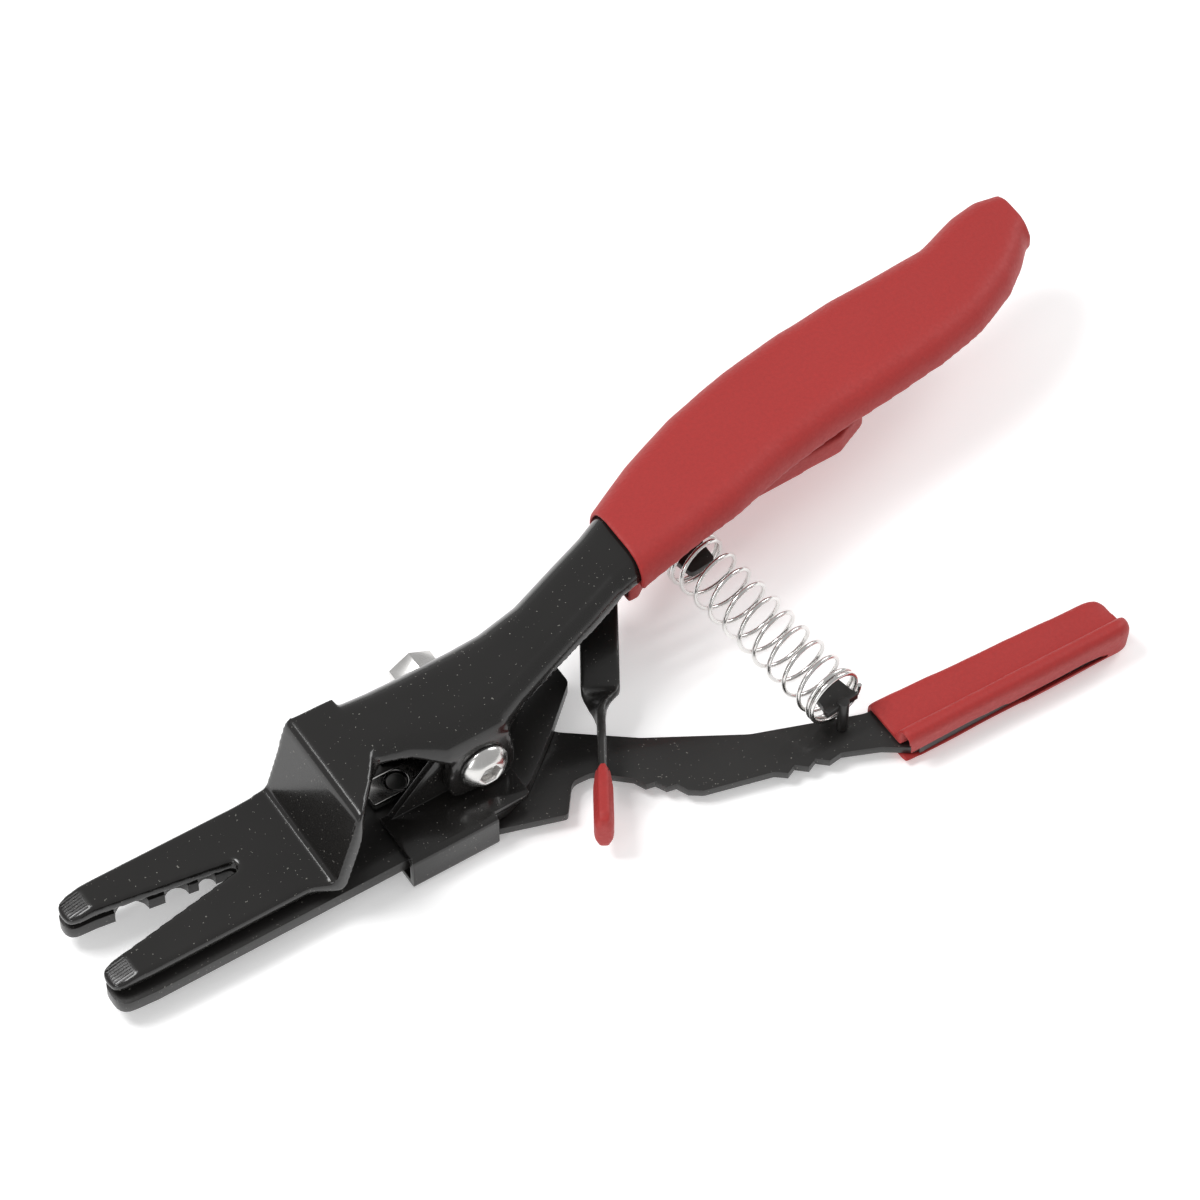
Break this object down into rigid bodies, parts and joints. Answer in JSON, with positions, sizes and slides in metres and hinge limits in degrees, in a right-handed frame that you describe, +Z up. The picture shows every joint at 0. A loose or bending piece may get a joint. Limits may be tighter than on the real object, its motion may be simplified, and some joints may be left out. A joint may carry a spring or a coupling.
{
  "type": "hose removal pliers",
  "caption": "Hand pliers with two stacked forked jaws that spread apart when a sprung flat lever is squeezed to a pressed channel handle, with dipped grips and a swing latch.",
  "frame": {"origin": "the middle of the flat underside of the side clip, which is the lowest face of the tool as it is seen", "axes": "+X from the jaws to the handles, +Y to the far side where the nut is, +Z up, square to the fork plates"},
  "size_m": [0.2525, 0.0997, 0.0314],
  "materials": {
    "gloss_black": "gloss black paint over pressed steel",
    "satin_black": "satin black paint over flat steel plate",
    "red_grip": "dipped red vinyl with a fine orange-peel grain",
    "bright_zinc": "bright zinc or nickel plate",
    "spring_zinc": "bright zinc plated spring wire",
    "dark_steel": "plain dark steel"
  },
  "bodies": {
    "handle": {"upper_jaw_body": "gloss_black", "upper_grip": "red_grip", "pivot_screw": "bright_zinc", "pivot_washer": "bright_zinc", "pivot_nut": "bright_zinc", "pivot_bush": "dark_steel", "fulcrum_bridge": "satin_black", "fulcrum_pin": "dark_steel", "fulcrum_spacer": "dark_steel", "return_spring": "spring_zinc", "spring_seat_upper": "satin_black", "latch_rivet": "dark_steel", "latch_washer": "bright_zinc"},
    "lower_jaw": {"lower_jaw_plate": "satin_black", "side_bracket": "gloss_black", "far_bracket": "gloss_black", "link_post": "dark_steel"},
    "link": {"pull_link": "bright_zinc"},
    "lever": {"lever_plate": "satin_black", "lever_grip": "red_grip", "drive_pin": "dark_steel", "spring_seat_lower": "satin_black"},
    "latch": {"latch_arm": "satin_black", "latch_tip_grip": "red_grip"}
  },
  "joints": [
    {"name": "lever_squeeze", "type": "hinge", "parent": "handle", "child": "lever", "pos_m": [0.0198, 0.01965, 0.0028], "axis": [0, 0, 1], "range_deg": [0, 13], "stiffness_Nm_per_rad": 1.5, "springref_deg": -17.19, "deforming": ["return_spring"]},
    {"name": "jaw_spread", "type": "hinge", "parent": "handle", "child": "lower_jaw", "pos_m": [0.0113, 0.01245, 0.01715], "axis": [0, -1, 0], "range_deg": [0, 7.9]},
    {"name": "link_yaw", "type": "hinge", "parent": "lower_jaw", "child": "link", "pos_m": [-0.0026, 0.01535, 0.00855], "axis": [0, 0, 1], "range_deg": [0, 0.5]},
    {"name": "latch_swing", "type": "hinge", "parent": "handle", "child": "latch", "pos_m": [0.0545, 0.02965, 0.01225], "axis": [0, 0, 1], "range_deg": [0, 10]}
  ],
  "couplings": [
    {"joint": "jaw_spread", "follows": "lever_squeeze", "ratio": 0.6047},
    {"joint": "link_yaw", "follows": "lever_squeeze", "ratio": 0.0262}
  ]
}
